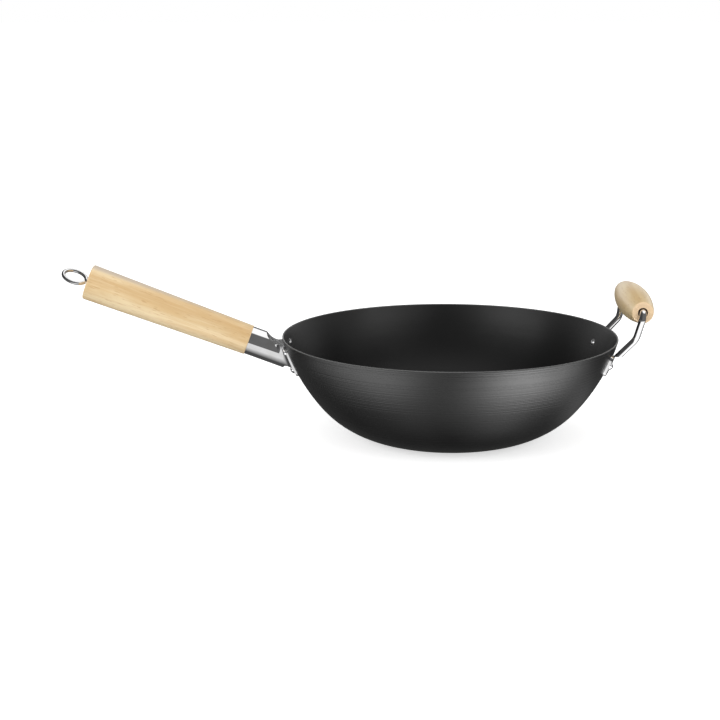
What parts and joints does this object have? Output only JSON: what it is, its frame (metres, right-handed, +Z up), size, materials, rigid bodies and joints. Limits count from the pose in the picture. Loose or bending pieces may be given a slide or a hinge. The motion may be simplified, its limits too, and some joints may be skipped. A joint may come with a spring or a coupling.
{
  "type": "carbon steel wok",
  "caption": "Flat-based carbon steel wok with a wooden long handle on a riveted socket, a wire hanging eye, and a turned wooden grip on a riveted wire helper handle.",
  "frame": {"origin": "centre of the flat base's underside, where the wok stands", "axes": "+Z up, +X towards the helper handle, -X along the long handle"},
  "size_m": [0.6112, 0.35, 0.1798],
  "materials": {
    "black_steel": "satin",
    "plated_steel": "polished",
    "rivet_steel": "satin",
    "plain_steel": "satin",
    "light_wood": "satin"
  },
  "bodies": {
    "pan": {"wok_bowl": "black_steel", "handle_bracket": "plated_steel", "bracket_rivets": "rivet_steel", "long_handle": "light_wood", "socket_web": "plain_steel", "tie_rod_nut": "plain_steel", "hanging_eye": "plated_steel", "helper_bail": "plated_steel", "helper_rivets": "rivet_steel"},
    "grip": {"helper_grip": "light_wood"}
  },
  "joints": [
    {"name": "grip_spin", "type": "hinge", "parent": "pan", "child": "grip", "pos_m": [0.1913, 0, 0.141], "axis": [0, 1, 0], "continuous": true}
  ]
}
